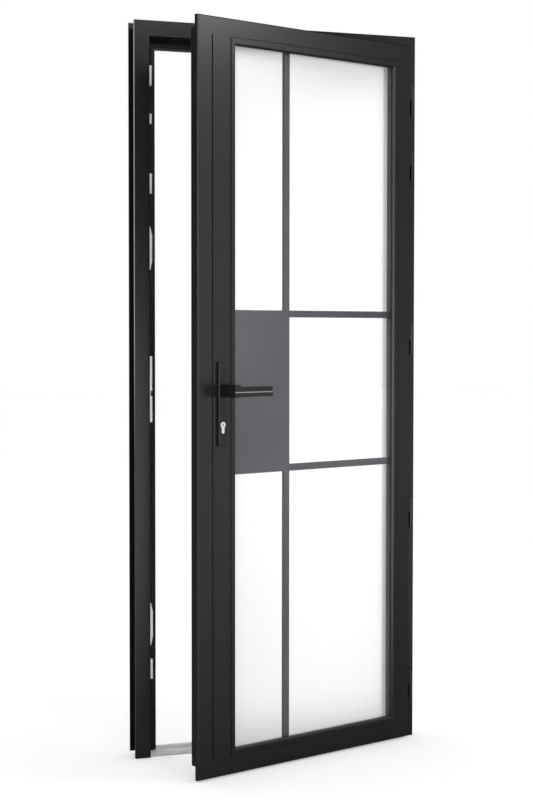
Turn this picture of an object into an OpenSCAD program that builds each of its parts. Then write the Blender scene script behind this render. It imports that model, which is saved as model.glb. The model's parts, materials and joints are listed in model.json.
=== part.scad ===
// Glazed aluminium door with its frame, the leaf standing ajar.
// The frame's front face looks along -Y, the leaf is hung on the right and opens towards -Y.

/* [Door set] */
// Overall width of the frame
frame_w = 890; // [800:1:1000]
// Overall height of the frame
frame_h = 2150; // [2100:1:2300]
// Angle at which the leaf stands ajar
open_angle = 21; // [0:1:60]
// Wall thickness of the hollow profiles
wall = 2; // [1.5:0.1:2.4]

/* [Frame profile] */
// Width of the frame's front face
frame_face_w = 45; // [43:1:50]
// Depth of the frame from front to back
frame_depth = 66; // [62:1:80]
// Reach of the stop into the opening, past the front face
stop_w = 31; // [26:1:34]
// Thickness of the frame's front flange, in front of the outer channel
front_flange_t = 10; // [8:0.5:13]
// Thickness of the frame's rear flange, behind the outer channel
rear_flange_t = 4; // [3:0.5:6]
// Depth of the channel round the frame's outer side
channel_d = 20; // [17:0.5:22]

/* [Threshold] */
// Height of the threshold's base
threshold_h = 10; // [8:1:12]
// Height of the threshold's nose
threshold_nose = 4; // [3:0.5:6]
// Width of the bevel behind the nose
threshold_bevel = 12; // [8:1:16]
// Height of the threshold's rear rib above its base
threshold_rib_h = 10; // [6:1:12]
// Thickness of the threshold's rear rib
threshold_rib_t = 16; // [10:1:18]

/* [Leaf profile] */
// Part of the frame's face left bare beside the leaf
reveal_side = 28; // [27:1:30]
// Part of the head's face left bare above the leaf
reveal_top = 32; // [26:1:36]
// Gap between the leaf and the floor
floor_gap = 4; // [3:0.5:10]
// Depth of the leaf from front to back
leaf_depth = 64; // [62:1:66]
// Thickness of the leaf's front flange
flange_t = 13; // [12:0.5:15]
// Bevel along the leaf's outer front edge
edge_bevel = 3; // [1:0.5:3.5]
// Reach of the front flange past the leaf's body
flange_overhang = 28; // [27:1:30]
// Width of the sash's front face
sash_face_w = 50; // [50:1:56]
// Width of the rear leg behind the glass
glazing_leg_w = 18; // [17:1:20]
// Depth of the rear leg behind the glass
glazing_leg_t = 20; // [18:1:21]
// Width of the lock profile beside the lock stile
lock_face_w = 67; // [66:1:90]
// Width of the two upright seams beside the lock profile
seam_w = 4; // [2:0.5:5]
// Width of the fine seam round the other beads
bead_seam_w = 0.8; // [0.4:0.1:2]
// Depth of the seams between the profiles
seam_d = 3; // [2:0.5:3.5]

/* [Seals] */
// Gap that each seal closes between the leaf and the frame
gasket_gap = 5; // [4:0.5:6]
// Free play left between a seal and the face that it meets
seal_play = 0.4; // [0.3:0.1:1]
// Width of a seal's slot
slot_w = 3; // [2:0.5:4]
// Depth of a seal's slot
slot_d = 3; // [2:0.5:3.5]
// Distance of the flange seal's slot from the leaf's edge
flange_slot_at = 8; // [7:0.5:9]
// Distance of the stop seal's slot from the stop's inner edge
stop_slot_at = 13; // [12:0.5:14]
// Reach of a seal's bulb past its slot on each side
bulb_over = 2; // [1:0.5:3]

/* [Glazing] */
// Width of a glazing bead with its seam
bead_w = 22; // [20:0.5:24]
// Depth of a glazing bead
bead_t = 10; // [9.5:0.5:11]
// Bevel of a glazing bead towards the glass
bead_bevel = 5; // [2:0.5:5]
// Thickness of one pane
pane_t = 4; // [4:0.5:5]
// Width of the cavity between the panes
cavity_t = 18; // [16:0.5:18]
// Thickness of the front glazing gasket
front_gasket_t = 4; // [3:0.5:4.5]
// Gap between the glass edge and the sash
glass_gap = 4; // [3:0.5:5]
// Width of the spacer round the cavity
spacer_w = 12; // [10:0.5:13]
// Width of a muntin bar
muntin_w = 20; // [16:1:30]
// Depth of a muntin bar
muntin_t = 10; // [6:1:14]
// Distance of a level muntin's centre from the panel's middle
muntin_rise = 222; // [180:1:300]
// Distance of the panel's middle below the lever's axis
panel_drop = 7; // [0:1:20]
// Thickness of the panel at the lever
panel_t = 3; // [2:0.5:6]

/* [Lock] */
// Height of the lever's axis above the floor
lever_z = 1087; // [1040:1:1120]
// Distance from the lock faceplate to the lever's axis
backset = 54; // [52:1:60]
// Distance from the lever's axis down to the cylinder's axis
cylinder_drop = 95; // [90:1:98]
// Height of the latch above the lever's axis
latch_rise = 38; // [34:1:40]
// Distance from the lever's axis down to the deadbolt
bolt_drop = 50; // [46:1:54]
// Depth of the hardware groove's middle from the leaf's front
groove_mid = 37; // [36:0.5:38]
// Width of the lock faceplate
faceplate_w = 18; // [16:1:20]
// Thickness of the lock faceplate
faceplate_t = 2.5; // [2:0.1:3]
// Thickness of the lock case
case_t = 16; // [15:0.5:17]
// Reach of the latch past the faceplate
latch_reach = 9; // [7:0.5:9.5]
// Reach of the cams past the faceplate
cam_proud = 6; // [5:0.5:7]
// Throw of the deadbolt
bolt_throw = 20; // [16:1:22]
// Travel of the drive rods
rod_travel = 15; // [12:1:18]
// Height of the lower hook above the floor
lower_hook_z = 394; // [370:1:430]
// Height of the lowest cam above the floor
low_cam_z = 262; // [240:1:290]
// Distance of the top cam from the frame's top
top_cam_drop = 158; // [140:1:180]

/* [Keeps] */
// Thickness of a plain keep
keep_t = 8; // [7:0.5:8.5]
// Thickness of a hook keep at its middle
hook_keep_t = 8.5; // [7:0.5:8.5]
// Depth of the keeps
keep_depth = 28; // [27:0.5:32]
// Distance of the keeps from the frame's front face
keep_at = 4; // [3:0.5:5]
// Length of a cam keep
cam_keep_h = 58; // [50:1:70]
// Length of a hook keep
hook_keep_h = 124; // [110:1:140]
// Length of the ramp at each end of a hook keep
hook_ramp = 25; // [15:1:35]
// Length of the main strike
strike_h = 192; // [186:1:200]
// Length of the run-up block
run_up_h = 28; // [20:1:40]

/* [Handle] */
// Width of a backplate
plate_w = 27; // [26:1:32]
// Thickness of a backplate
plate_t = 9; // [7:0.5:10]
// Distance of a backplate's screws from the lock case
plate_screw_gap = 6.5; // [5.5:0.5:10]
// Reach of a backplate above its top screw
plate_over_screw = 13.5; // [10:0.5:20]
// Reach of a backplate below its bottom screw
plate_under_screw = 22; // [14:0.5:26]
// Bevel along a backplate's front edge
plate_bevel = 2; // [1:0.5:3]
// Distance from the leaf's front face to the near lever's front
near_reach = 75; // [66:1:85]
// Distance from the leaf's rear face to the far lever's front
far_reach = 50; // [44:1:52]
// Length of a lever from its axis
lever_l = 127; // [110:1:150]
// Height of a lever's bar
lever_h = 28; // [20:1:30]
// Distance of the bar's middle below the lever's axis
bar_drop = 2; // [0:0.5:3]
// Thickness of a lever's bar
lever_t = 12; // [10:1:16]
// Height of a lever's neck
neck_h = 35; // [32:1:38]
// Width of a lever's neck
neck_w = 20; // [19:1:24]
// Side of the square spindle
spindle_w = 8; // [7:0.5:9]

/* [Hinges] */
// Height of the lowest hinge above the floor
hinge_first_z = 165; // [150:1:200]
// Distance of the top hinge from the frame's top
hinge_top_drop = 194; // [180:1:220]
// Height of the extra top hinge above the fourth one
hinge_extra = 198; // [150:1:220]
// Height of a whole hinge
hinge_h = 90; // [80:1:110]
// Radius of a hinge barrel
barrel_r = 6.5; // [6:0.1:7]
// Radius of a hinge pin
pin_r = 3.5; // [3:0.1:4]
// Distance of the hinge axis from the frame's outer edge
hinge_in = 13; // [12:0.5:15]
// Distance of the hinge axis in front of the frame's face
hinge_out = 10; // [9:0.5:11]

/* [Fixings] */
// Radius of the frame fixing holes
fixing_r = 4.1; // [3:0.1:5]
// Height of the lowest fixing hole
fixing_first_z = 140; // [120:1:180]
// Distance of the top fixing hole from the frame's top
fixing_top_drop = 240; // [220:1:260]
// Depth of the fixing holes from the frame's front face
fixing_depth = 38; // [36:1:40]

/* [Hidden] */
$fn = 64;
eps = 0.01;
over = 1;
// Running clearance of pins and collars, and free clearance of bolts and hooks
run_clear = 0.05;
free_clear = 0.3;

leaf_proud = flange_t + gasket_gap;
leaf_w = frame_w - 2 * reveal_side;
leaf_h = frame_h - reveal_top - floor_gap;
stop_front = leaf_depth - leaf_proud + gasket_gap;
stop_in = frame_face_w + stop_w;
channel_end = frame_depth - rear_flange_t;
threshold_at = front_flange_t;
stop_slot = stop_in - stop_slot_at;
bulb_t = gasket_gap - seal_play;

leg_front = leaf_depth - glazing_leg_t;
sash_w = sash_face_w + glazing_leg_w;
plate_low = groove_mid - faceplate_w / 2;
plate_high = groove_mid + faceplate_w / 2;
rod_groove_w = faceplate_w - 5;
rod_groove_d = 3.5;
rod_low = groove_mid - rod_groove_w / 2;
rod_high = groove_mid + rod_groove_w / 2;
plate_back = flange_overhang + faceplate_t;
groove_back = plate_back + rod_groove_d;
web_at = plate_low - wall;
inner_bevel = edge_bevel * 0.6 + wall;
lock_edge = sash_face_w + lock_face_w;
lever_c = flange_overhang + backset;
bead_front = 0.5;

// The opening that the beads go round, and the glass in it
open_w = leaf_w - sash_face_w - lock_edge;
open_h = leaf_h - 2 * sash_face_w;
pane_front = bead_t + front_gasket_t;
cavity_front = pane_front + pane_t;
cavity_back = cavity_front + cavity_t;
pane_back = cavity_back + pane_t;
cavity_mid = (cavity_front + cavity_back) / 2;
spacer_in = glass_gap + spacer_w;
// The upright muntin stands at a third of the clear glass
muntin_share = 1 / 3;
muntin_c = lock_edge + bead_w + muntin_share * (open_w - 2 * bead_w);

// Heights from the leaf's bottom
lever_v = lever_z - floor_gap;
cylinder_v = lever_v - cylinder_drop;
latch_v = lever_v + latch_rise;
bolt_v = lever_v - bolt_drop;
case_top = latch_v + 22;
case_bottom = cylinder_v - 30;
case_l = 82;
case_end = plate_back + case_l;
latch_w = 12;
latch_h = 20;
bolt_w = 10;
bolt_h = 24;
bolt_tail = 52;

// Hooks, drive rods and cams
hook_l = 31;
hook_r = 5.5;
hook_t = 6;
hook_pin_r = 3;
hook_c = groove_back + wall + hook_r + 0.5;
hook_below = hook_l + 4;
hook_above = hook_r + 4;
// The upper hook, cam and run-up block stand at set shares of the way from the lever to the top cam
top_cam_z = frame_h - top_cam_drop;
upper_reach = top_cam_z - lever_z;
upper_hook_z = lever_z + upper_reach * 409 / 912;
upper_cam_z = lever_z + upper_reach * 598 / 912;
run_up_z = lever_z + upper_reach * 787 / 912;
cam_heights = [low_cam_z, upper_cam_z, top_cam_z];
hook_heights = [upper_hook_z, lower_hook_z];
rod_t = 2.5;
rod_w = rod_groove_w - 1;
cam_r = 4;
// A cam at rest stands this far below its keep's lower end
cam_below = cam_r + 2;
cam_rest = [for (z = cam_heights) z - floor_gap - cam_keep_h / 2 - cam_below];
cam_tip = flange_overhang - cam_proud;

// Euro cylinder and its plug
euro_r = 8.5;
euro_stem_w = 10;
euro_stem = 19.5;
euro_proud = 1;
plug_r = 6.5;
key_w = 3;
key_h = 7;
key_d = 20;
cam_t = 10;
cam_reach = 14;
cam_room = 15;

// Backplates and their screws
plate_r = 3;
screw_r = 2.5;
screw_head_r = 4.5;
screw_rise = case_top + plate_screw_gap;
screw_fall = case_bottom - plate_screw_gap;
plate_above = screw_rise + plate_over_screw - lever_v;
plate_low_end = screw_fall - plate_under_screw - lever_v;
plate_h = plate_above - plate_low_end;
collar_r = 9;
collar_l = 5;
ridge_h = 2.6;
ridge_d = 1.6;

fixing_pitch = (frame_h - fixing_first_z - fixing_top_drop) / 3;
hinge_x = frame_w / 2 - hinge_in;
hinge_y = -frame_depth / 2 - hinge_out;
hinge_pitch = (frame_h - hinge_top_drop - hinge_extra - hinge_first_z) / 3;
hinge_heights = [for (i = [0:4]) hinge_first_z + min(i, 3) * hinge_pitch + (i == 4 ? hinge_extra : 0)];
hinge_gap = 0.3;
foot_t = 3;
foot_w = 18;
arm_t = 6;
seat_t = 2;
cleat_l = 110;

black = [0.16, 0.16, 0.165];
silver = [0.72, 0.72, 0.74];
steel = [0.6, 0.61, 0.63];
rubber = [0.08, 0.08, 0.08];
clear_glass = [0.85, 0.92, 0.92, 0.35];
frosted_glass = [0.95, 0.96, 0.96, 0.85];
muntin_grey = [0.3, 0.29, 0.32];

// Frame corner: x runs in from the lock side, y runs back from the front face
module at_frame() {
  translate([-frame_w / 2, -frame_depth / 2, 0]) children();
}

// What follows the leaf is turned about the hinge axis
module ajar() {
  translate([hinge_x, hinge_y, 0]) rotate([0, 0, open_angle]) translate([-hinge_x, -hinge_y, 0]) children();
}

// Leaf corner: x runs in from the lock edge, y runs back from the front, z up from the bottom
module at_leaf() {
  ajar() translate([-frame_w / 2 + reveal_side, -frame_depth / 2 - leaf_proud, floor_gap]) children();
}

// A prism over an outline in the x-z plane, deep enough to cut any profile
module xz_prism(points, from, to) {
  translate([0, to, 0]) rotate([90, 0, 0]) linear_extrude(height = to - from) polygon(points);
}

// An upright profile with both ends mitred, outer edge at x = 0
module mitred(length, inset) {
  intersection() {
    linear_extrude(height = length) children();
    xz_prism([[0, 0], [0, length], [inset, length - inset], [inset, inset]], -over, leaf_depth + frame_depth);
  }
}

// An upright profile with only its top end mitred
module mitred_top(length, inset) {
  intersection() {
    linear_extrude(height = length) children();
    xz_prism([[0, 0], [0, length], [inset, length - inset], [inset, 0]], -over, leaf_depth + frame_depth);
  }
}

// Lays an upright profile down as the top member of an opening of height h
module as_top(h) {
  translate([0, 0, h]) rotate([0, 90, 0]) children();
}

module as_bottom() {
  mirror([0, 0, 1]) rotate([0, 90, 0]) children();
}

module as_right(w) {
  translate([w, 0, 0]) mirror([1, 0, 0]) children();
}

// A level box in leaf or frame coordinates, given by its low and high corners
module box(low, high) {
  translate(low) cube(high - low);
}

// A round bar along y
module y_bar(x, z, r, from, to) {
  translate([x, to, z]) rotate([90, 0, 0]) cylinder(r = r, h = to - from);
}

module frame_section() {
  difference() {
    polygon([
      [0, 0], [frame_face_w, 0], [frame_face_w, stop_front], [stop_in, stop_front],
      [stop_in, frame_depth], [0, frame_depth], [0, channel_end], [channel_d, channel_end],
      [channel_d, front_flange_t], [0, front_flange_t]
    ]);
    polygon([
      [wall, wall], [frame_face_w - wall, wall], [frame_face_w - wall, stop_front],
      [channel_d + wall, stop_front], [channel_d + wall, front_flange_t - wall],
      [wall, front_flange_t - wall]
    ]);
    polygon([
      [channel_d + wall, stop_front + wall], [stop_slot - wall, stop_front + wall],
      [stop_slot - wall, stop_front + slot_d + wall],
      [stop_slot + slot_w + wall, stop_front + slot_d + wall],
      [stop_slot + slot_w + wall, stop_front + wall], [stop_in - wall, stop_front + wall],
      [stop_in - wall, frame_depth - wall], [channel_d + wall, frame_depth - wall]
    ]);
    translate([stop_slot, stop_front - over]) square([slot_w, slot_d + over]);
  }
}

module stop_gasket_section() {
  translate([stop_slot, stop_front - eps]) square([slot_w, slot_d + eps]);
  translate([stop_slot - bulb_over, stop_front - bulb_t]) square([slot_w + 2 * bulb_over, bulb_t]);
}

module sash_section() {
  difference() {
    polygon([
      [0, edge_bevel], [edge_bevel, 0], [sash_face_w, 0], [sash_face_w, leg_front], [sash_w, leg_front],
      [sash_w, leaf_depth], [flange_overhang, leaf_depth], [flange_overhang, plate_high],
      [plate_back, plate_high], [plate_back, rod_high], [groove_back, rod_high],
      [groove_back, rod_low], [plate_back, rod_low], [plate_back, plate_low],
      [flange_overhang, plate_low], [flange_overhang, flange_t], [flange_slot_at + slot_w, flange_t],
      [flange_slot_at + slot_w, flange_t - slot_d], [flange_slot_at, flange_t - slot_d],
      [flange_slot_at, flange_t], [0, flange_t]
    ]);
    polygon([
      [wall, inner_bevel], [inner_bevel, wall], [sash_face_w - wall, wall], [sash_face_w - wall, web_at],
      [flange_overhang + wall, web_at], [flange_overhang + wall, flange_t - wall],
      [flange_slot_at + slot_w + wall, flange_t - wall],
      [flange_slot_at + slot_w + wall, flange_t - slot_d - wall],
      [flange_slot_at - wall, flange_t - slot_d - wall], [flange_slot_at - wall, flange_t - wall],
      [wall, flange_t - wall]
    ]);
    polygon([
      [groove_back + wall, plate_low], [sash_face_w - wall, plate_low],
      [sash_face_w - wall, leg_front + wall], [sash_w - wall, leg_front + wall],
      [sash_w - wall, leaf_depth - wall], [flange_overhang + wall, leaf_depth - wall],
      [flange_overhang + wall, plate_high + wall], [plate_back + wall, plate_high + wall],
      [plate_back + wall, rod_high + wall], [groove_back + wall, rod_high + wall]
    ]);
  }
}

module flange_gasket_section() {
  translate([flange_slot_at, flange_t - slot_d]) square([slot_w, slot_d + eps]);
  translate([flange_slot_at - bulb_over, flange_t]) square([slot_w + 2 * bulb_over, bulb_t]);
}

module lock_profile_section() {
  difference() {
    polygon([
      [sash_face_w + seam_w, 0], [lock_edge, 0], [lock_edge, leg_front],
      [lock_edge + glazing_leg_w, leg_front], [lock_edge + glazing_leg_w, leaf_depth],
      [sash_w, leaf_depth], [sash_w, leg_front], [sash_face_w, leg_front],
      [sash_face_w, seam_d], [sash_face_w + seam_w, seam_d]
    ]);
    polygon([
      [sash_face_w + seam_w + wall, wall], [lock_edge - wall, wall], [lock_edge - wall, leg_front + wall],
      [lock_edge + glazing_leg_w - wall, leg_front + wall],
      [lock_edge + glazing_leg_w - wall, leaf_depth - wall], [sash_w + wall, leaf_depth - wall],
      [sash_w + wall, leg_front - wall], [sash_face_w + wall, leg_front - wall],
      [sash_face_w + wall, seam_d + wall], [sash_face_w + seam_w + wall, seam_d + wall]
    ]);
  }
}

module bead_section(seam) {
  difference() {
    polygon([
      [0, seam_d], [seam, seam_d], [seam, bead_front], [bead_w - bead_bevel, bead_front],
      [bead_w, bead_front + bead_bevel], [bead_w, bead_t], [0, bead_t]
    ]);
    polygon([
      [seam_w + wall, bead_front + wall], [bead_w - bead_bevel - wall / 2, bead_front + wall],
      [bead_w - wall, bead_front + bead_bevel + wall / 2], [bead_w - wall, bead_t - wall],
      [seam_w + wall, bead_t - wall]
    ]);
  }
}

// The frame

module fixing_holes() {
  for (i = [0:3])
    translate([-over, fixing_depth, fixing_first_z + i * fixing_pitch])
      rotate([0, 90, 0]) cylinder(r = fixing_r, h = frame_face_w + 2 * over);
}

module jamb() {
  difference() {
    mitred_top(frame_h, stop_in) frame_section();
    box([-over, threshold_at, -over], [stop_in + over, frame_depth + over, threshold_h]);
    fixing_holes();
  }
}

// Slots behind the keeps, for the deadbolt and the hooks
module bolt_slots() {
  from_a = frame_face_w - wall - over;
  to_a = frame_face_w + hook_keep_t + over;
  mid_b = groove_mid - leaf_proud;
  half_bolt = bolt_w / 2 + 1.5;
  half_hook = hook_t / 2 + 1.5;
  box([from_a, mid_b - half_bolt, lever_z - bolt_drop - bolt_h / 2 - 2],
      [to_a, mid_b + half_bolt, lever_z - bolt_drop + bolt_h / 2 + 2]);
  for (z = hook_heights)
    box([from_a, mid_b - half_hook, z - hook_below], [to_a, mid_b + half_hook, z + hook_above]);
}

module lock_jamb() {
  color(black) at_frame() difference() {
    jamb();
    bolt_slots();
  }
}

module hinge_jamb() {
  color(black) at_frame() as_right(frame_w) jamb();
}

module head() {
  color(black) at_frame() as_top(frame_h) mitred(frame_w, stop_in) frame_section();
}

module threshold() {
  color(silver) at_frame() {
    translate([channel_d, 0, 0]) rotate([90, 0, 90])
    linear_extrude(height = frame_w - 2 * channel_d) difference() {
      polygon([
        [threshold_at, 0], [frame_depth, 0], [frame_depth, threshold_h],
        [threshold_at + threshold_bevel, threshold_h], [threshold_at, threshold_nose]
      ]);
      polygon([
        [threshold_at + threshold_bevel, wall], [frame_depth - wall, wall],
        [frame_depth - wall, threshold_h - wall], [threshold_at + threshold_bevel, threshold_h - wall]
      ]);
    }
    box([stop_in, frame_depth - threshold_rib_t, threshold_h - eps],
        [frame_w - stop_in, frame_depth, threshold_h + threshold_rib_h]);
  }
}

module stop_gasket() {
  color(rubber) at_frame() {
    difference() {
      union() {
        mitred_top(frame_h, stop_in) stop_gasket_section();
        as_right(frame_w) mitred_top(frame_h, stop_in) stop_gasket_section();
      }
      box([0, 0, -over], [frame_w, frame_depth, threshold_h]);
    }
    as_top(frame_h) mitred(frame_w, stop_in) stop_gasket_section();
  }
}

module frame_cleat() {
  low = channel_d + wall;
  high = frame_face_w - wall;
  box([low, front_flange_t, frame_h - low - cleat_l], [high, stop_front, frame_h - low]);
  box([low, front_flange_t, frame_h - high], [low + cleat_l, stop_front, frame_h - low]);
}

module frame_cleats() {
  color(steel) at_frame() {
    frame_cleat();
    as_right(frame_w) frame_cleat();
  }
}

// A plain keep from height low to height high
module keep_block(low, high) {
  box([frame_face_w, keep_at, low], [frame_face_w + keep_t, keep_at + keep_depth, high]);
}

module main_strike() {
  mid_z = lever_z - 4;
  mid_b = groove_mid - leaf_proud;
  latch_half = latch_w / 2 + 1.5;
  notch_low = lever_z - 25;
  notch_high = lever_z - 8;
  color(silver) at_frame() difference() {
    keep_block(mid_z - strike_h / 2, mid_z + strike_h / 2);
    bolt_slots();
    box([frame_face_w - over, mid_b - latch_half, lever_z + latch_rise - latch_h / 2 - 2],
        [frame_face_w + keep_t + over, mid_b + latch_half, lever_z + latch_rise + latch_h / 2 + 2]);
    box([frame_face_w + keep_t / 2, keep_at - over, notch_low],
        [frame_face_w + keep_t + over, keep_at + keep_depth + over, notch_high]);
  }
}

// A hook keep with a ramp at each end, for a hook at height z
module hook_keep(z) {
  end_t = 3;
  low = z - hook_keep_h / 2;
  high = z + hook_keep_h / 2;
  color(silver) at_frame() difference() {
    translate([frame_face_w, 0, 0]) xz_prism([
      [0, low], [end_t, low], [hook_keep_t, low + hook_ramp], [hook_keep_t, high - hook_ramp],
      [end_t, high], [0, high]
    ], keep_at, keep_at + keep_depth);
    bolt_slots();
  }
}

module upper_hook_keep() { hook_keep(upper_hook_z); }
module lower_hook_keep() { hook_keep(lower_hook_z); }

// A keep with a slot that is open below, so that a cam rises into it behind its front lip
module cam_keep(z) {
  mid_b = groove_mid - leaf_proud;
  room = cam_r + 2;
  low = z - cam_keep_h / 2;
  color(silver) at_frame() difference() {
    keep_block(low, z + cam_keep_h / 2);
    box([frame_face_w + wall / 2, mid_b - room, low - over],
        [frame_face_w + keep_t + over, mid_b + room, low - cam_below + rod_travel + room]);
  }
}

module cam_keep_1() { cam_keep(cam_heights[0]); }
module cam_keep_2() { cam_keep(cam_heights[1]); }
module cam_keep_3() { cam_keep(cam_heights[2]); }

module run_up_block() {
  color(silver) at_frame() keep_block(run_up_z - run_up_h / 2, run_up_z + run_up_h / 2);
}

// The hinges

module hinge_frame_half(i) {
  half = hinge_h / 2;
  z0 = hinge_heights[i] - half;
  z1 = hinge_heights[i] - hinge_gap / 2;
  face_y = -frame_depth / 2;
  color(black) difference() {
    union() {
      translate([hinge_x, hinge_y, z0]) cylinder(r = barrel_r, h = z1 - z0);
      box([hinge_x - arm_t / 2, hinge_y, z0], [hinge_x + arm_t / 2, face_y - foot_t / 2, z1]);
      box([hinge_x - foot_w / 2, face_y - foot_t, z0], [hinge_x + foot_w / 2, face_y, z1]);
    }
    translate([hinge_x, hinge_y, z0 + over]) cylinder(r = pin_r, h = half);
  }
}

module hinge_frame_half_1() { hinge_frame_half(0); }
module hinge_frame_half_2() { hinge_frame_half(1); }
module hinge_frame_half_3() { hinge_frame_half(2); }
module hinge_frame_half_4() { hinge_frame_half(3); }
module hinge_frame_half_5() { hinge_frame_half(4); }

module hinge_pins() {
  color(steel) for (z = hinge_heights)
    translate([hinge_x, hinge_y, z - hinge_h / 2 + over]) cylinder(r = pin_r, h = hinge_h - 4 * over);
}

module hinge_leaf_half(i) {
  half = hinge_h / 2;
  z0 = hinge_heights[i] + hinge_gap / 2;
  z1 = hinge_heights[i] + half;
  edge_x = frame_w / 2 - reveal_side;
  front_y = -frame_depth / 2 - leaf_proud;
  seat_rim = 1.5;
  color(black) ajar() difference() {
    union() {
      translate([hinge_x, hinge_y, z0]) cylinder(r = barrel_r, h = z1 - z0);
      box([edge_x + seat_t / 2, hinge_y - arm_t / 2, z0], [hinge_x, hinge_y + arm_t / 2, z1]);
      box([edge_x, front_y + edge_bevel, z0], [edge_x + seat_t, front_y + flange_t - seat_rim, z1]);
    }
    translate([hinge_x, hinge_y, z0 - over])
      cylinder(r = pin_r + run_clear, h = half - over);
  }
}

module hinge_leaf_half_1() { hinge_leaf_half(0); }
module hinge_leaf_half_2() { hinge_leaf_half(1); }
module hinge_leaf_half_3() { hinge_leaf_half(2); }
module hinge_leaf_half_4() { hinge_leaf_half(3); }
module hinge_leaf_half_5() { hinge_leaf_half(4); }

// The leaf

// Room for the lock case through the lock stile and the lock profile
module case_room() {
  box([plate_back - eps, groove_mid - case_t / 2 - free_clear, case_bottom - free_clear],
      [case_end + free_clear, groove_mid + case_t / 2 + free_clear, case_top + free_clear]);
}

// Slots for the hooks, open to the lock edge
module hook_slots(from_c, to_c, side_room) {
  half = hook_t / 2 + side_room;
  for (z = hook_heights)
    box([from_c, groove_mid - half, z - floor_gap - hook_below],
        [to_c, groove_mid + half, z - floor_gap + hook_above]);
}

module lock_stile() {
  color(black) at_leaf() difference() {
    mitred(leaf_h, sash_w) sash_section();
    case_room();
    hook_slots(groove_back - over, groove_back + wall + over, 1);
  }
}

module hinge_stile() {
  color(black) at_leaf() as_right(leaf_w) mitred(leaf_h, sash_w) sash_section();
}

module top_rail() {
  color(black) at_leaf() as_top(leaf_h) mitred(leaf_w, sash_w) sash_section();
}

module bottom_rail() {
  color(black) at_leaf() as_bottom() mitred(leaf_w, sash_w) sash_section();
}

// The euro cylinder's outline, grown by a clearance
module euro_outline(grow) {
  circle(r = euro_r + grow);
  translate([-euro_stem_w / 2 - grow, -euro_stem]) square([euro_stem_w + 2 * grow, euro_stem]);
  translate([0, -euro_stem]) circle(r = euro_stem_w / 2 + grow);
}

module euro_bar(grow, from, to) {
  translate([lever_c, to, cylinder_v]) rotate([90, 0, 0])
    linear_extrude(height = to - from) euro_outline(grow);
}

module lock_profile() {
  hole_r = collar_r + 1;
  color(black) at_leaf() difference() {
    translate([0, 0, sash_face_w]) linear_extrude(height = leaf_h - 2 * sash_face_w) lock_profile_section();
    box([0, leg_front, 0], [leaf_w, leaf_depth + over, sash_w]);
    box([0, leg_front, leaf_h - sash_w], [leaf_w, leaf_depth + over, leaf_h]);
    case_room();
    y_bar(lever_c, lever_v, hole_r, -over, leaf_depth + over);
    euro_bar(free_clear, -over, leaf_depth + over);
    for (v = [screw_rise, screw_fall]) y_bar(lever_c, v, screw_r + free_clear, -over, leaf_depth + over);
  }
}

module leaf_cleat() {
  low = flange_overhang + wall;
  high = sash_face_w - wall;
  box([low, wall, leaf_h - low - cleat_l], [high, web_at, leaf_h - low]);
  box([low, wall, leaf_h - high], [low + cleat_l, web_at, leaf_h - low]);
}

module leaf_cleats() {
  color(steel) at_leaf() {
    leaf_cleat();
    as_right(leaf_w) leaf_cleat();
    translate([0, 0, leaf_h]) mirror([0, 0, 1]) {
      leaf_cleat();
      as_right(leaf_w) leaf_cleat();
    }
  }
}

// Places children at the low corner of the glazing opening
module at_opening() {
  at_leaf() translate([lock_edge, 0, sash_face_w]) children();
}

module bead_lock() {
  color(black) at_opening() mitred(open_h, bead_w) bead_section(seam_w);
}

module bead_hinge() {
  color(black) at_opening() as_right(open_w) mitred(open_h, bead_w) bead_section(bead_seam_w);
}

module bead_top() {
  color(black) at_opening() as_top(open_h) mitred(open_w, bead_w) bead_section(bead_seam_w);
}

module bead_bottom() {
  color(black) at_opening() as_bottom() mitred(open_w, bead_w) bead_section(bead_seam_w);
}

module pane(from) {
  at_opening() box([glass_gap, from, glass_gap], [open_w - glass_gap, from + pane_t, open_h - glass_gap]);
}

module front_pane() { color(clear_glass) pane(pane_front); }
module rear_pane() { color(frosted_glass) pane(cavity_back); }

// A flat ring round the opening, between two insets from its edge
module ring(outer, inner, from, to) {
  difference() {
    box([outer, from, outer], [open_w - outer, to, open_h - outer]);
    box([inner, from - over, inner], [open_w - inner, to + over, open_h - inner]);
  }
}

module glass_spacer() {
  color(steel) at_opening() ring(glass_gap, spacer_in, cavity_front, cavity_back);
}

module glazing_gaskets() {
  front_outer = bead_w - 7;
  front_inner = bead_w - 1;
  rear_inner = glazing_leg_w - 1;
  rear_outer = glazing_leg_w - 9;
  color(rubber) at_opening() {
    ring(front_outer, front_inner, bead_t, pane_front);
    ring(rear_outer, rear_inner, pane_back, leg_front);
  }
}

module setting_blocks() {
  block_l = 100;
  block_in = 60;
  color(rubber) at_opening() for (x = [block_in, open_w - block_in - block_l])
    box([x, pane_front, 0], [x + block_l, pane_back, glass_gap]);
}

// Muntin bars and the panel lie in the cavity, in the leaf's coordinates
muntin_low = cavity_mid - muntin_t / 2;
muntin_high = cavity_mid + muntin_t / 2;
cavity_left = lock_edge + spacer_in;
cavity_right = leaf_w - sash_face_w - spacer_in;
upright_left = muntin_c - muntin_w / 2;
upright_right = muntin_c + muntin_w / 2;
panel_v = lever_v - panel_drop;

module upright_muntin() {
  color(muntin_grey) at_leaf()
    box([upright_left, muntin_low, sash_face_w + spacer_in],
        [upright_right, muntin_high, leaf_h - sash_face_w - spacer_in]);
}

module level_muntins() {
  color(muntin_grey) at_leaf() for (v = [panel_v - muntin_rise, panel_v + muntin_rise]) {
    box([cavity_left, muntin_low, v - muntin_w / 2], [upright_left, muntin_high, v + muntin_w / 2]);
    box([upright_right, muntin_low, v - muntin_w / 2], [cavity_right, muntin_high, v + muntin_w / 2]);
  }
}

module lever_panel() {
  rise = muntin_rise - muntin_w / 2;
  color(muntin_grey) at_leaf()
    box([cavity_left, muntin_low, panel_v - rise], [upright_left, muntin_low + panel_t, panel_v + rise]);
}

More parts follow.
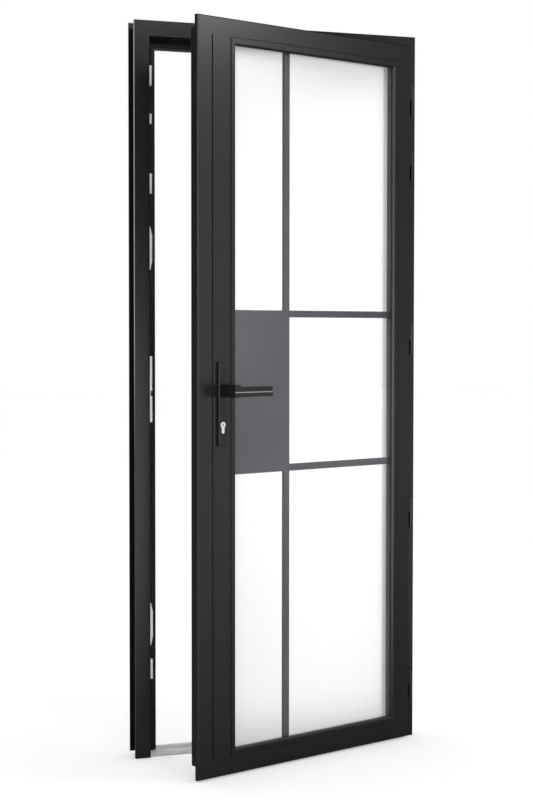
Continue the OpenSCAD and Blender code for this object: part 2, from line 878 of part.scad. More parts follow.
module flange_gasket() {
  color(rubber) at_leaf() {
    mitred(leaf_h, sash_w) flange_gasket_section();
    as_right(leaf_w) mitred(leaf_h, sash_w) flange_gasket_section();
    as_top(leaf_h) mitred(leaf_w, sash_w) flange_gasket_section();
  }
}

// A blade hung in the bottom rail's groove, clear of the threshold
module bottom_seal() {
  blade_t = 4;
  blade_end = threshold_h + 1 - floor_gap;
  color(rubber) at_leaf() {
    box([flange_overhang, plate_low, flange_overhang],
        [leaf_w - flange_overhang, plate_high, flange_overhang + faceplate_t]);
    box([flange_overhang, groove_mid - blade_t / 2, blade_end],
        [leaf_w - flange_overhang, groove_mid + blade_t / 2, flange_overhang + eps]);
  }
}

// The lock

module latch_room(from_c, to_c) {
  box([from_c, groove_mid - latch_w / 2 - free_clear, latch_v - latch_h / 2 - free_clear],
      [to_c, groove_mid + latch_w / 2 + free_clear, latch_v + latch_h / 2 + free_clear]);
}

module bolt_room(from_c, to_c) {
  box([from_c, groove_mid - bolt_w / 2 - free_clear, bolt_v - bolt_h / 2 - free_clear],
      [to_c, groove_mid + bolt_w / 2 + free_clear, bolt_v + bolt_h / 2 + free_clear]);
}

module lock_faceplate() {
  end_reach = 40;
  low = cam_rest[0] - end_reach;
  high = cam_rest[2] + rod_travel + end_reach;
  slot_half = cam_r + 0.5;
  color(steel) at_leaf() difference() {
    box([flange_overhang, plate_low, low], [plate_back, plate_high, high]);
    latch_room(0, plate_back + over);
    bolt_room(0, plate_back + over);
    hook_slots(0, plate_back + over, 1);
    for (v = cam_rest)
      box([0, groove_mid - slot_half, v - slot_half],
          [plate_back + over, groove_mid + slot_half, v + rod_travel + slot_half]);
  }
}

module lock_case() {
  bore_end = case_end - 12;
  half = case_t / 2;
  cam_half = cam_t / 2 + free_clear;
  color(steel) at_leaf() difference() {
    box([plate_back, groove_mid - half, case_bottom], [case_end, groove_mid + half, case_top]);
    latch_room(0, bore_end);
    bolt_room(0, bore_end);
    y_bar(lever_c, lever_v, spindle_w * 0.9, 0, leaf_depth);
    euro_bar(free_clear, 0, leaf_depth);
    y_bar(lever_c, cylinder_v, cam_room, groove_mid - cam_half, groove_mid + cam_half);
  }
}

// The bevel of the latch faces the strike that it rides over
module latch_bolt() {
  tail = 30;
  tip = flange_overhang - latch_reach;
  low = groove_mid - latch_w / 2;
  high = groove_mid + latch_w / 2;
  color(steel) at_leaf() {
    translate([0, 0, latch_v - latch_h / 2]) linear_extrude(height = latch_h)
      polygon([[tip, low], [tip, low + 4], [flange_overhang, high], [flange_overhang + tail, high],
               [flange_overhang + tail, low]]);
  }
}

module deadbolt() {
  color(steel) at_leaf()
    box([flange_overhang, groove_mid - bolt_w / 2, bolt_v - bolt_h / 2],
        [flange_overhang + bolt_tail, groove_mid + bolt_w / 2, bolt_v + bolt_h / 2]);
}

// A hook that hangs down when drawn back, and turns out about its pin
module hook(z) {
  notch_d = 4;
  notch_from = hook_l - 16;
  notch_to = hook_l - 6;
  color(steel) at_leaf() translate([hook_c, groove_mid + hook_t / 2, z - floor_gap])
    rotate([90, 0, 0]) linear_extrude(height = hook_t) difference() {
      polygon(concat(
        [for (a = [0:15:180]) [hook_r * cos(a), hook_r * sin(a)]],
        [[-hook_r, -notch_from], [notch_d - hook_r, -notch_from], [notch_d - hook_r, -notch_to],
         [-hook_r, -notch_to], [-hook_r, -hook_l], [hook_r, -hook_l]]
      ));
      circle(r = hook_pin_r + run_clear);
    }
}

module upper_hook() { hook(upper_hook_z); }
module lower_hook() { hook(lower_hook_z); }

// Two cheeks and a pivot pin hold each hook
module hook_cases() {
  cheek_t = 3;
  inner = hook_t / 2 + free_clear;
  low_c = groove_back + wall;
  high_c = sash_face_w - wall;
  color(steel) at_leaf() for (z = hook_heights) {
    v = z - floor_gap;
    for (y = [groove_mid - inner - cheek_t, groove_mid + inner])
      box([low_c, y, v - hook_below], [high_c, y + cheek_t, v + hook_above]);
    y_bar(hook_c, v, hook_pin_r, groove_mid - inner - cheek_t / 2, groove_mid + inner + cheek_t / 2);
  }
}

module drive_rods() {
  low_c = plate_back + (rod_groove_d - rod_t) / 2;
  end_reach = 30;
  lower_top = case_bottom - rod_travel - 2;
  upper_bottom = case_top + 1;
  window = hook_t / 2 + 0.8;
  color(steel) at_leaf() {
    difference() {
      for (span = [[cam_rest[0] - end_reach, lower_top], [upper_bottom, cam_rest[2] + end_reach]])
        box([low_c, groove_mid - rod_w / 2, span[0]], [low_c + rod_t, groove_mid + rod_w / 2, span[1]]);
      for (z = hook_heights)
        box([low_c - over, groove_mid - window, z - floor_gap - hook_below - rod_travel],
            [low_c + rod_t + over, groove_mid + window, z - floor_gap + hook_above]);
    }
    for (v = cam_rest)
      translate([cam_tip, groove_mid, v])
        rotate([0, 90, 0]) cylinder(r = cam_r, h = low_c + eps - cam_tip);
  }
}

module keyway(from, to) {
  box([lever_c - key_w / 2, from, cylinder_v - key_h / 2], [lever_c + key_w / 2, to, cylinder_v + key_h / 2]);
}

module cylinder_body() {
  front = -plate_t - euro_proud;
  back = leaf_depth + plate_t + euro_proud;
  cam_half = cam_t / 2 + free_clear;
  color(silver) at_leaf() difference() {
    euro_bar(0, front, back);
    y_bar(lever_c, cylinder_v, plug_r + run_clear, front - over, groove_mid);
    box([lever_c - euro_r - over, groove_mid - cam_half, cylinder_v - cam_room],
        [lever_c + euro_r + over, groove_mid + cam_half, cylinder_v + euro_r + over]);
    keyway(back - over, back + over);
  }
}

module cylinder_plug() {
  front = -plate_t - euro_proud;
  color(steel) at_leaf() difference() {
    union() {
      y_bar(lever_c, cylinder_v, plug_r, front, groove_mid);
      y_bar(lever_c, cylinder_v, euro_r - 0.2, groove_mid - cam_t / 2, groove_mid + cam_t / 2);
      box([lever_c - 3.5, groove_mid - cam_t / 2, cylinder_v - cam_reach],
          [lever_c + 3.5, groove_mid + cam_t / 2, cylinder_v]);
    }
    keyway(front - over, front + key_d);
  }
}

// The handles

module plate_outline() {
  low = plate_low_end;
  translate([-plate_w / 2 + plate_r, low]) square([plate_w - 2 * plate_r, plate_h]);
  translate([-plate_w / 2, low + plate_r]) square([plate_w, plate_h - 2 * plate_r]);
  for (x = [-1, 1], y = [low + plate_r, plate_above - plate_r])
    translate([x * (plate_w / 2 - plate_r), y]) circle(r = plate_r);
}

// A backplate lying on the x-z plane with its bevelled front towards -y
module plate_blank() {
  side = plate_w / 2;
  intersection() {
    rotate([90, 0, 0]) linear_extrude(height = plate_t) plate_outline();
    translate([0, 0, plate_low_end]) linear_extrude(height = plate_h)
      polygon([
        [-side, 0], [side, 0], [side, plate_bevel - plate_t], [side - plate_bevel, -plate_t],
        [plate_bevel - side, -plate_t], [-side, plate_bevel - plate_t]
      ]);
  }
}

// A screw along y with a countersunk head at each end
module plate_screw(v, grow) {
  front = -plate_t;
  back = leaf_depth + plate_t;
  head_l = screw_head_r - screw_r;
  y_bar(lever_c, v, screw_r + grow, front, back);
  translate([lever_c, front + head_l, v]) rotate([90, 0, 0])
    cylinder(r1 = screw_r + grow, r2 = screw_head_r + grow, h = head_l);
  translate([lever_c, back, v]) rotate([90, 0, 0])
    cylinder(r1 = screw_head_r + grow, r2 = screw_r + grow, h = head_l);
}

// The holes through both backplates
module plate_holes() {
  from = -plate_t - over;
  to = leaf_depth + plate_t + over;
  y_bar(lever_c, lever_v, collar_r + run_clear, from, to);
  euro_bar(free_clear, from, to);
  for (v = [screw_rise, screw_fall]) plate_screw(v, 0.1);
}

module near_backplate() {
  color(black) at_leaf() difference() {
    translate([lever_c, 0, lever_v]) plate_blank();
    plate_holes();
  }
}

module far_backplate() {
  color(black) at_leaf() difference() {
    translate([lever_c, leaf_depth, lever_v]) mirror([0, 1, 0]) plate_blank();
    plate_holes();
  }
}

module plate_screws() {
  color(black) at_leaf() for (v = [screw_rise, screw_fall]) plate_screw(v, 0);
}

// A lever in front of the leaf's face: round collar, square neck, flat bar with a stepped front
module lever(reach) {
  low = -bar_drop - lever_h / 2;
  high = -bar_drop + lever_h / 2;
  step = -bar_drop - ridge_h;
  front = -reach;
  neck_from = -plate_t - free_clear;
  difference() {
    union() {
      y_bar(0, 0, collar_r, neck_from - eps, neck_from + collar_l);
      box([-neck_w / 2, front + ridge_d, -neck_h / 2], [neck_w / 2, neck_from, neck_h / 2]);
      translate([-neck_w / 2, 0, 0]) rotate([90, 0, 90]) linear_extrude(height = lever_l + neck_w / 2)
        polygon([
          [front, low], [front, step], [front + ridge_d, step + ridge_h], [front + ridge_d, high],
          [front + lever_t, high], [front + lever_t, low]
        ]);
    }
    box([-spindle_w / 2, front + lever_t, -spindle_w / 2], [spindle_w / 2, 0, spindle_w / 2]);
  }
}

module near_lever() {
  color(black) at_leaf() translate([lever_c, 0, lever_v]) lever(near_reach);
}

module far_lever() {
  color(black) at_leaf() translate([lever_c, leaf_depth, lever_v]) mirror([0, 1, 0]) lever(far_reach);
}

module spindle() {
  color(steel) at_leaf()
    box([lever_c - spindle_w / 2, -near_reach + lever_t, lever_v - spindle_w / 2],
        [lever_c + spindle_w / 2, leaf_depth + far_reach - lever_t, lever_v + spindle_w / 2]);
}

lock_jamb();
hinge_jamb();
head();
threshold();
stop_gasket();
frame_cleats();
main_strike();
upper_hook_keep();
lower_hook_keep();
cam_keep_1();
cam_keep_2();
cam_keep_3();
run_up_block();
hinge_frame_half_1();
hinge_frame_half_2();
hinge_frame_half_3();
hinge_frame_half_4();
hinge_frame_half_5();
hinge_pins();
lock_stile();
hinge_stile();
top_rail();
bottom_rail();
lock_profile();
leaf_cleats();
bead_lock();
bead_hinge();
bead_top();
bead_bottom();
front_pane();
rear_pane();
glass_spacer();
upright_muntin();
level_muntins();
lever_panel();
glazing_gaskets();
setting_blocks();
flange_gasket();
bottom_seal();
lock_faceplate();
lock_case();
hook_cases();
hinge_leaf_half_1();
hinge_leaf_half_2();
hinge_leaf_half_3();
hinge_leaf_half_4();
hinge_leaf_half_5();
near_backplate();
far_backplate();
plate_screws();
cylinder_body();
near_lever();
far_lever();
spindle();
latch_bolt();
deadbolt();
upper_hook();
lower_hook();
cylinder_plug();
drive_rods();
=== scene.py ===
import json
import math

import bpy
from mathutils import Matrix, Vector

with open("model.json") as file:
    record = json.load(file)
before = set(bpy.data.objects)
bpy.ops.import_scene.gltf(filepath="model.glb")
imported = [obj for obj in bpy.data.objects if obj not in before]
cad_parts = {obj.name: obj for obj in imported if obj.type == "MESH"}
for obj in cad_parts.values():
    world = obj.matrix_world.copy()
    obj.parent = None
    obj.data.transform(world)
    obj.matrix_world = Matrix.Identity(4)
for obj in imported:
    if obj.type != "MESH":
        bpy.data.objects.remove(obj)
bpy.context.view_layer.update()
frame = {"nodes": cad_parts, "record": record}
nodes = frame["nodes"]
scene = bpy.context.scene

WHITE = (1, 1, 1, 1)


# Coatings by slot: the colour goes from low to high in soft clouds, and the roughness between two values.
# Grain is the scale of a fine noise, depth its height and stretch its shape. Edge is a radius that softens
# the piece's edges.

COATINGS = {
    "black_profile": {
        "low": (0.0075, 0.0075, 0.0079), "high": (0.0095, 0.0095, 0.0099), "rough": (0.24, 0.31),
        "grain": 1400.0, "depth": 0.00010, "edge": 0.0009,
    },
    "black_hardware": {
        "low": (0.0060, 0.0060, 0.0063), "high": (0.0080, 0.0080, 0.0083), "rough": (0.28, 0.36),
        "grain": 1800.0, "depth": 0.00008, "edge": 0.0007,
    },
    "silver_keeps": {
        "low": (0.86, 0.86, 0.87), "high": (0.94, 0.94, 0.95), "rough": (0.34, 0.48),
        "grain": 900.0, "depth": 0.00006, "edge": 0.0006, "metallic": 0.7, "stretch": (1, 1, 0.04),
    },
    "threshold": {
        "low": (0.74, 0.72, 0.73), "high": (0.84, 0.82, 0.83), "rough": (0.38, 0.52),
        "grain": 900.0, "depth": 0.00006, "edge": 0.0008, "metallic": 0.25, "stretch": (0.03, 1, 1),
    },
    "black_seals": {
        "low": (0.009, 0.009, 0.009), "high": (0.014, 0.014, 0.014), "rough": (0.55, 0.72),
        "grain": 700.0, "depth": 0.00015, "edge": 0.0010, "specular": 0.35,
    },
    "spacer": {
        "low": (0.090, 0.086, 0.112), "high": (0.115, 0.110, 0.138), "rough": (0.42, 0.55),
        "grain": 1100.0, "depth": 0.00005, "edge": 0.0,
    },
    "muntins": {
        "low": (0.068, 0.066, 0.079), "high": (0.080, 0.077, 0.091), "rough": (0.40, 0.52),
        "grain": 1300.0, "depth": 0.00008, "edge": 0.0006, "specular": 0.12,
    },
    "cleats": {
        "low": (0.52, 0.52, 0.53), "high": (0.62, 0.62, 0.63), "rough": (0.40, 0.55),
        "grain": 600.0, "depth": 0.00010, "edge": 0.0, "metallic": 1.0,
    },
    "lock_steel": {
        "low": (0.50, 0.50, 0.52), "high": (0.60, 0.60, 0.62), "rough": (0.28, 0.42),
        "grain": 1000.0, "depth": 0.00005, "edge": 0.0005, "metallic": 1.0, "stretch": (1, 1, 0.05),
    },
    "cylinder": {
        "low": (0.86, 0.85, 0.84), "high": (0.94, 0.93, 0.92), "rough": (0.26, 0.38),
        "grain": 1500.0, "depth": 0.00004, "edge": 0.0004, "metallic": 0.5,
    },
}

# Panes by slot: milky is the share of the light that a pane scatters, and shadow_share is how much of it
# a pane lets through where it casts a shadow

PANES = {
    "clear_glass": {
        "low": (0.985, 0.992, 0.99), "high": (0.995, 0.998, 0.996), "rough": (0.0, 0.012),
        "grain": 6.0, "depth": 0.00001, "milky": 0.0, "shadow_share": 0.86,
    },
    "frosted_glass": {
        "low": (0.975, 0.98, 0.98), "high": (0.99, 0.992, 0.992), "rough": (0.22, 0.30),
        "grain": 2600.0, "depth": 0.00003, "milky": 0.75, "shadow_share": 0.50,
    },
}
GLASS_IOR = 1.45

# Noise: values from NOISE_LOW to NOISE_HIGH take up a material's whole range

NOISE_LOW = 0.3
NOISE_HIGH = 0.7
NOISE_ROUGHNESS = 0.55
GRAIN_DETAIL = 2.0
COATING_CLOUDS = {"scale": 7.0, "detail": 4.0}
COATING_GRAIN_STRENGTH = 0.35
GLASS_CLOUDS = {"scale": 3.0, "detail": 3.0}
GLASS_GRAIN_STRENGTH = 0.2
EDGE_SAMPLES = 4

# Lever's step: its height above the floor, and the Z part of its normal, each with a margin

STEP_Z = 1.0837
STEP_HALF = 0.0016
STEP_SLOPE = 0.52
STEP_SLOPE_MARGIN = 0.25
# Tint of the step's upward slope: polished metal, made brighter as a painted highlight line along the bar
STEP_POLISH_AND_HIGHLIGHT = (0.34, 0.34, 0.32, 1)

# Key plug: the way out of the leaf, which stands ajar. Faces that look that way by less than KEYWAY_FACING
# get painted shade, dark as the keyway's walls lie in shadow, and those by more than FRONT_FACING keep the
# metal's bright colour like the plug's front.

AJAR = math.radians(21.0)
LEAF_OUTWARD = (math.sin(AJAR), -math.cos(AJAR), 0.0)
KEYWAY_FACING = 0.2
FRONT_FACING = 0.6
KEYWAY_PAINTED_SHADE = (0.02, 0.017, 0.014, 1)

# Camera, set from the photograph's perspective

CAMERA_PLACE = (-1.8392, -4.9159, 1.2523)
CAMERA_YAW = math.radians(20.246)
CAMERA_PITCH = math.radians(2.260)
CAMERA_ROLL = math.radians(0.038)
CAMERA_LENS = 78.497
SENSOR_HEIGHT = 36.0
VIEW_DEPTH = 200.0

# Floor: its size, its drop below the part, its tones, and directions along it

FLOOR_HALF = 30.0
FLOOR_DROP = 0.0005
FLOOR_TONE = 0.62
FLOOR_DIM_TONE = 0.20
FLOOR_GLOW_IN_VIEW = 0.40
TO_BACK = (0, 1, 0)
TO_FRONT = (0, -1, 0)
TO_FRONT_LEFT = (-0.25, -1, 0)

# World: a dim room with brighter areas, each between two cosines round a direction, and the level of white,
# with what is added to it behind glass

ROOM_DIM = 0.05
ROOM_AREAS = {
    "behind": {"direction": (-0.25, 1.0, 0.0), "start": 0.80, "end": 0.97, "level": 1.5},
    "front_right": {"direction": (0.71, -0.71, 0.0), "start": 0.925, "end": 0.985, "level": 1.4},
    "high_right": {"direction": (0.74, -0.12, 0.66), "start": 0.93, "end": 0.99, "level": 0.8},
    "camera_side": {"direction": (-0.41, -0.91, 0.03), "start": 0.92, "end": 0.99, "level": 2.4},
}
WHITE_LEVEL = 1.0
WHITE_EXTRA = 0.18

# Lamps: the ceiling's strength, spread and turn, and the tint of the softboxes

CEILING_STRENGTH = 2.6
CEILING_ANGLE = math.radians(110)
CEILING_TURN = (math.radians(-10), math.radians(2), 0)
SOFTBOX_TINT = (1.0, 0.93, 0.94)


# Node helpers

def empty_tree(owner, output):
    """Clears the nodes of a material or a world and gives it a new output."""
    owner.use_nodes = True
    tree = owner.node_tree
    tree.nodes.clear()
    return tree, tree.nodes.new(output)


def feed(tree, value, socket):
    """Links an output to a socket, or sets the socket to a plain value."""
    if isinstance(value, bpy.types.NodeSocket):
        tree.links.new(value, socket)
    else:
        socket.default_value = value


def calculate(tree, operation, *values, clamp=False):
    node = tree.nodes.new("ShaderNodeMath")
    node.operation = operation
    node.use_clamp = clamp
    for value, socket in zip(values, node.inputs):
        feed(tree, value, socket)
    return node.outputs[0]


def along(tree, vector, direction):
    """How far a vector reaches along a direction."""
    node = tree.nodes.new("ShaderNodeVectorMath")
    node.operation = "DOT_PRODUCT"
    node.inputs[1].default_value = direction
    tree.links.new(vector, node.inputs[0])
    return node.outputs["Value"]


def spread(tree, value, start, end, low, high, smooth=False):
    """Maps the stretch from start to end onto the one from low to high."""
    node = tree.nodes.new("ShaderNodeMapRange")
    if smooth:
        node.interpolation_type = "SMOOTHSTEP"
    node.inputs["From Min"].default_value = start
    node.inputs["From Max"].default_value = end
    node.inputs["To Min"].default_value = low
    node.inputs["To Max"].default_value = high
    tree.links.new(value, node.inputs["Value"])
    return node.outputs["Result"]


def mix_shaders(tree, share, first, second):
    node = tree.nodes.new("ShaderNodeMixShader")
    feed(tree, share, node.inputs["Fac"])
    tree.links.new(first, node.inputs[1])
    tree.links.new(second, node.inputs[2])
    return node.outputs["Shader"]


def mix_colours(tree, share, first, second):
    node = tree.nodes.new("ShaderNodeMix")
    node.data_type = "RGBA"
    feed(tree, share, node.inputs["Factor"])
    feed(tree, first, node.inputs["A"])
    feed(tree, second, node.inputs["B"])
    return node.outputs["Result"]


def straight_through_glass(tree, path):
    """One for rays that came through glass and were not reflected on the way.

    Behind glass the floor and the world show their white only to these, so that the pieces between the panes
    are lit like the others.
    """
    reflections = calculate(tree, "ADD", path.outputs["Diffuse Depth"], path.outputs["Glossy Depth"])
    unreflected = calculate(tree, "LESS_THAN", reflections, 1.0)
    return calculate(tree, "MULTIPLY", path.outputs["Is Transmission Ray"], unreflected)


# Material helpers

def new_material(name):
    mat = bpy.data.materials.new(name)
    tree, out = empty_tree(mat, "ShaderNodeOutputMaterial")
    shader = tree.nodes.new("ShaderNodeBsdfPrincipled")
    tree.links.new(shader.outputs["BSDF"], out.inputs["Surface"])
    return mat, tree, shader, out


def object_coords(tree, stretch=(1, 1, 1)):
    """Texture coordinates in metres, stretched along an axis for drawn or brushed metal."""
    coord = tree.nodes.new("ShaderNodeTexCoord")
    mapping = tree.nodes.new("ShaderNodeMapping")
    mapping.inputs["Scale"].default_value = stretch
    tree.links.new(coord.outputs["Object"], mapping.inputs["Vector"])
    return mapping.outputs["Vector"]


def noise(tree, vector, scale, detail):
    tex = tree.nodes.new("ShaderNodeTexNoise")
    tex.inputs["Scale"].default_value = scale
    tex.inputs["Detail"].default_value = detail
    tex.inputs["Roughness"].default_value = NOISE_ROUGHNESS
    tree.links.new(vector, tex.inputs["Vector"])
    return tex.outputs["Fac"]


def clouded(tree, cloud, low, high):
    """A colour that goes from low to high with a noise."""
    node = tree.nodes.new("ShaderNodeValToRGB")
    first, last = node.color_ramp.elements
    first.position = NOISE_LOW
    first.color = (*low, 1)
    last.position = NOISE_HIGH
    last.color = (*high, 1)
    tree.links.new(cloud, node.inputs["Fac"])
    return node.outputs["Color"]


def bump(tree, height, distance, strength, edge):
    """Bump over edges that are softened by a small radius."""
    node = tree.nodes.new("ShaderNodeBump")
    node.inputs["Distance"].default_value = distance
    node.inputs["Strength"].default_value = strength
    tree.links.new(height, node.inputs["Height"])
    if edge:
        bevel = tree.nodes.new("ShaderNodeBevel")
        bevel.samples = EDGE_SAMPLES
        bevel.inputs["Radius"].default_value = edge
        tree.links.new(bevel.outputs["Normal"], node.inputs["Normal"])
    return node.outputs["Normal"]


def coated(name, low, high, rough, grain, depth, edge, specular=0.5, metallic=0.0, stretch=(1, 1, 1)):
    """A coated or metal surface: cloudy colour, uneven gloss and a fine grain."""
    mat, tree, shader, _ = new_material(name)
    cloud = noise(tree, object_coords(tree), **COATING_CLOUDS)
    fine = noise(tree, object_coords(tree, stretch), grain, GRAIN_DETAIL)
    roughness = spread(tree, fine, NOISE_LOW, NOISE_HIGH, *rough)
    normal = bump(tree, fine, depth, COATING_GRAIN_STRENGTH, edge)
    tree.links.new(clouded(tree, cloud, low, high), shader.inputs["Base Color"])
    tree.links.new(roughness, shader.inputs["Roughness"])
    tree.links.new(normal, shader.inputs["Normal"])
    shader.inputs["Metallic"].default_value = metallic
    shader.inputs["Specular IOR Level"].default_value = specular
    return mat


def transparent(tree, share=1.0):
    node = tree.nodes.new("ShaderNodeBsdfTransparent")
    node.inputs["Color"].default_value = (share, share, share, 1)
    return node.outputs["BSDF"]


def milky_entry(tree, glass, colour, normal, milky):
    """Glass that scatters a share of the light where it enters and lets it leave unchanged."""
    scatter = tree.nodes.new("ShaderNodeBsdfTranslucent")
    tree.links.new(colour, scatter.inputs["Color"])
    tree.links.new(normal, scatter.inputs["Normal"])
    entry = mix_shaders(tree, milky, glass, scatter.outputs["BSDF"])
    leaving = tree.nodes.new("ShaderNodeNewGeometry").outputs["Backfacing"]
    return mix_shaders(tree, leaving, entry, transparent(tree))


def pane(name, low, high, rough, grain, depth, milky, shadow_share):
    """Glass with a faint unevenness, which lets part of the light through when it casts a shadow."""
    mat, tree, shader, out = new_material(name)
    vector = object_coords(tree)
    colour = clouded(tree, noise(tree, vector, **GLASS_CLOUDS), low, high)
    fine = noise(tree, vector, grain, GRAIN_DETAIL)
    normal = bump(tree, fine, depth, GLASS_GRAIN_STRENGTH, 0)
    tree.links.new(colour, shader.inputs["Base Color"])
    tree.links.new(spread(tree, fine, NOISE_LOW, NOISE_HIGH, *rough), shader.inputs["Roughness"])
    tree.links.new(normal, shader.inputs["Normal"])
    shader.inputs["Transmission Weight"].default_value = 1.0
    shader.inputs["IOR"].default_value = GLASS_IOR
    surface = shader.outputs["BSDF"]
    if milky:
        surface = milky_entry(tree, surface, colour, normal, milky)
    in_shadow = tree.nodes.new("ShaderNodeLightPath").outputs["Is Shadow Ray"]
    surface = mix_shaders(tree, in_shadow, surface, transparent(tree, shadow_share))
    tree.links.new(surface, out.inputs["Surface"])
    return mat


def painted(mat):
    """The tree and shader of a coating, and the output that gives its colour."""
    tree = mat.node_tree
    shader = next(node for node in tree.nodes if node.type == "BSDF_PRINCIPLED")
    return tree, shader, shader.inputs["Base Color"].links[0].from_socket


def near_value(tree, vector, value, margin):
    """One where the Z part of a vector lies within a margin of a value."""
    parts = tree.nodes.new("ShaderNodeSeparateXYZ")
    tree.links.new(vector, parts.inputs[0])
    return calculate(tree, "COMPARE", parts.outputs["Z"], value, margin)


def lever_material():
    """Black like the other hardware, with the sloping step along the bar polished and tinted bright as a
    painted highlight line.
    """
    mat = coated("lever_black", **COATINGS["black_hardware"])
    tree, shader, paint = painted(mat)
    coord = tree.nodes.new("ShaderNodeTexCoord")
    at_step = near_value(tree, coord.outputs["Object"], STEP_Z, STEP_HALF)
    sloping = near_value(tree, coord.outputs["Normal"], STEP_SLOPE, STEP_SLOPE_MARGIN)
    # Painted highlight: the step's upward slope is polished metal, tinted bright so that it shows as a
    # highlight line
    polish_and_highlight = calculate(tree, "MULTIPLY", at_step, sloping)
    tree.links.new(mix_colours(tree, polish_and_highlight, paint, STEP_POLISH_AND_HIGHLIGHT), shader.inputs["Base Color"])
    tree.links.new(polish_and_highlight, shader.inputs["Metallic"])
    return mat


def plug_material():
    """Bright on the face that looks out of the leaf, with painted shade on the faces turned away, as in the
    keyway, and crisp edges.
    """
    mat = coated("plug_metal", **{**COATINGS["cylinder"], "edge": 0.0})
    tree, shader, paint = painted(mat)
    coord = tree.nodes.new("ShaderNodeTexCoord")
    facing = along(tree, coord.outputs["Normal"], LEAF_OUTWARD)
    # Painted shade: faces turned away from the way out, such as the keyway's walls, take the dark colour
    front = spread(tree, facing, KEYWAY_FACING, FRONT_FACING, 0.0, 1.0)
    tree.links.new(mix_colours(tree, front, KEYWAY_PAINTED_SHADE, paint), shader.inputs["Base Color"])
    return mat


# Materials on the pieces

def dress(name, material):
    for slot in nodes[name].material_slots:
        slot.material = material


materials = {slot: coated(slot, **values) for slot, values in COATINGS.items()}
materials.update({slot: pane(slot, **values) for slot, values in PANES.items()})
for entry in frame["record"]["subparts"]:
    dress(entry["node"], materials[entry["material_slot"]])

lever_black = lever_material()
for name in ("near_lever", "far_lever"):
    dress(name, lever_black)
dress("cylinder_plug", plug_material())


# Camera

def camera_turn():
    """The camera's rotation: yaw to the right, pitch down, then roll about the line of sight."""
    across = math.cos(CAMERA_PITCH)
    forward = Vector((math.sin(CAMERA_YAW) * across, math.cos(CAMERA_YAW) * across, -math.sin(CAMERA_PITCH)))
    level = Vector((math.cos(CAMERA_YAW), -math.sin(CAMERA_YAW), 0))
    upward = level.cross(forward)
    right = math.cos(CAMERA_ROLL) * level + math.sin(CAMERA_ROLL) * upward
    above = -math.sin(CAMERA_ROLL) * level + math.cos(CAMERA_ROLL) * upward
    return Matrix((right, above, -forward)).transposed().to_4x4()


camera = bpy.data.objects.new("camera", bpy.data.cameras.new("camera"))
scene.collection.objects.link(camera)
camera.matrix_world = Matrix.Translation(CAMERA_PLACE) @ camera_turn()
camera.data.sensor_fit = "VERTICAL"
camera.data.sensor_height = SENSOR_HEIGHT
camera.data.lens = CAMERA_LENS
camera.data.clip_end = VIEW_DEPTH
scene.camera = camera


# Floor: white to the camera, the soft shadow kept as a pale tone

def matt(tree, tone):
    node = tree.nodes.new("ShaderNodeBsdfDiffuse")
    node.inputs["Color"].default_value = (tone, tone, tone, 1)
    return node.outputs["BSDF"]


def floor_material():
    """Pale paint with a glow, set by how the floor is seen: plainly, through glass or in a mirror face."""
    mat = bpy.data.materials.new("floor")
    tree, out = empty_tree(mat, "ShaderNodeOutputMaterial")
    path = tree.nodes.new("ShaderNodeLightPath")
    place = tree.nodes.new("ShaderNodeTexCoord").outputs["Object"]

    def rise(direction, start, end, low, high):
        """A value that goes from low to high with the distance along a direction on the floor."""
        return spread(tree, along(tree, place, direction), start, end, low, high, smooth=True)

    glossy = path.outputs["Is Glossy Ray"]
    through_glass = straight_through_glass(tree, path)
    mirrored = calculate(tree, "SUBTRACT", glossy, path.outputs["Is Transmission Ray"], clamp=True)

    # Painted shadow of the door: through glass and in mirror faces the glow grows only with the distance from
    # the door, so the floor is darker near it
    far_glow = rise(TO_BACK, start=0.2, end=1.3, low=0.0, high=0.6)
    near_glow = rise(TO_FRONT, start=0.0, end=0.8, low=0.0, high=0.6)
    mirror_glow = rise(TO_FRONT_LEFT, start=0.1, end=2.3, low=0.0, high=0.6)
    in_view = calculate(tree, "MULTIPLY", path.outputs["Is Camera Ray"], FLOOR_GLOW_IN_VIEW)
    behind_glass = calculate(tree, "MULTIPLY", through_glass, calculate(tree, "ADD", far_glow, near_glow))
    in_mirror = calculate(tree, "MULTIPLY", mirrored, mirror_glow)
    strength = calculate(tree, "ADD", calculate(tree, "ADD", in_view, behind_glass), in_mirror)
    glow = tree.nodes.new("ShaderNodeEmission")
    glow.inputs["Color"].default_value = WHITE
    tree.links.new(strength, glow.inputs["Strength"])

    # Painted shadow of the door behind it: through glass the paint is dimmed near the door
    shade = rise(TO_BACK, start=0.2, end=1.0, low=0.9, high=0.0)
    shade_behind_glass = calculate(tree, "MULTIPLY", through_glass, shade)
    dimmed = calculate(tree, "ADD", mirrored, shade_behind_glass, clamp=True)
    paint = mix_shaders(tree, dimmed, matt(tree, FLOOR_TONE), matt(tree, FLOOR_DIM_TONE))
    both = tree.nodes.new("ShaderNodeAddShader")
    tree.links.new(paint, both.inputs[0])
    tree.links.new(glow.outputs["Emission"], both.inputs[1])
    tree.links.new(both.outputs["Shader"], out.inputs["Surface"])
    return mat


corners = [(x * FLOOR_HALF, y * FLOOR_HALF, 0) for x, y in ((-1, -1), (1, -1), (1, 1), (-1, 1))]
floor_mesh = bpy.data.meshes.new("floor")
floor_mesh.from_pydata(corners, [], [(0, 1, 2, 3)])
floor_mesh.materials.append(floor_material())
floor = bpy.data.objects.new("floor", floor_mesh)
floor.location.z = -FLOOR_DROP
scene.collection.objects.link(floor)


# World: white to the camera and behind glass, and to all else a dim room that the black metal reflects

def background(tree, strength):
    node = tree.nodes.new("ShaderNodeBackground")
    node.inputs["Color"].default_value = WHITE
    tree.links.new(strength, node.inputs["Strength"])
    return node.outputs["Background"]


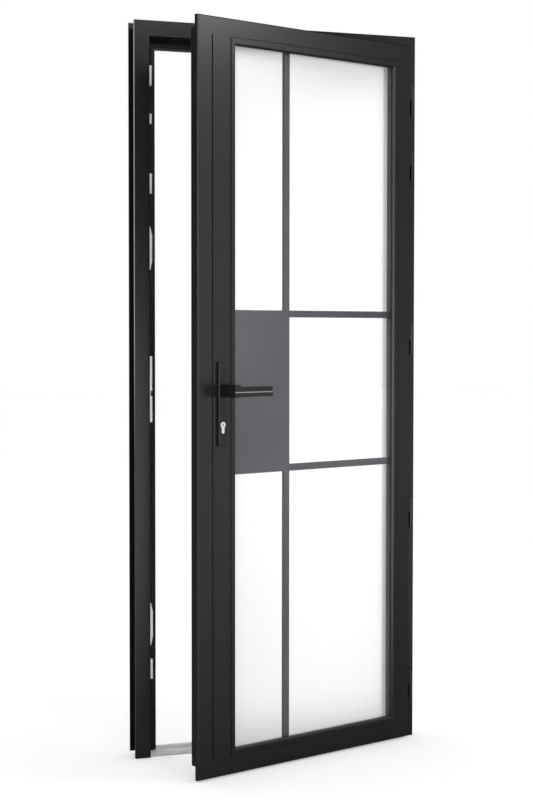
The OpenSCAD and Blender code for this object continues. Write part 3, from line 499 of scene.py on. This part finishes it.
def room_light(tree):
    """The dim level with the brighter areas added to it."""
    direction = tree.nodes.new("ShaderNodeTexCoord").outputs["Generated"]
    light = ROOM_DIM
    for area in ROOM_AREAS.values():
        towards = along(tree, direction, Vector(area["direction"]).normalized())
        brighter = spread(tree, towards, area["start"], area["end"], 0.0, area["level"], smooth=True)
        light = calculate(tree, "ADD", brighter, light)
    return light


world = bpy.data.worlds.new("studio")
scene.world = world
world_tree, world_out = empty_tree(world, "ShaderNodeOutputWorld")
path = world_tree.nodes.new("ShaderNodeLightPath")
through_glass = straight_through_glass(world_tree, path)
white_level = calculate(world_tree, "MULTIPLY_ADD", through_glass, WHITE_EXTRA, WHITE_LEVEL)
seen = calculate(world_tree, "MAXIMUM", path.outputs["Is Camera Ray"], through_glass)
room = background(world_tree, room_light(world_tree))
white = background(world_tree, white_level)
world_tree.links.new(mix_shaders(world_tree, seen, room, white), world_out.inputs["Surface"])


# Lamps: a soft ceiling over the whole floor, and softboxes that the left side of the door reflects

ceiling = bpy.data.lights.new("ceiling", "SUN")
ceiling.energy = CEILING_STRENGTH
ceiling.angle = CEILING_ANGLE
ceiling_ob = bpy.data.objects.new("ceiling", ceiling)
scene.collection.objects.link(ceiling_ob)
ceiling_ob.rotation_euler = CEILING_TURN
ceiling_ob.visible_glossy = False


def softbox(name, place, target, width, height, power):
    data = bpy.data.lights.new(name, "AREA")
    data.shape = "RECTANGLE"
    data.size = width
    data.size_y = height
    data.energy = power
    data.color = SOFTBOX_TINT
    ob = bpy.data.objects.new(name, data)
    scene.collection.objects.link(ob)
    ob.location = place
    ob.rotation_euler = (Vector(target) - Vector(place)).to_track_quat("-Z", "Y").to_euler()


softbox("leaf_corner", place=(2.14, -1.78, 3.0), target=(-0.36, -0.36, 2.12),
        width=0.5, height=0.5, power=16.0)
softbox("head_corner", place=(0.18, -2.15, 2.86), target=(-0.44, -0.03, 2.12),
        width=0.7, height=0.4, power=5.0)
softbox("jamb_strip", place=(-0.25, -2.45, 0.66), target=(-0.43, -0.03, 0.66),
        width=0.5, height=1.4, power=14.0)

scene.view_settings.view_transform = "Standard"
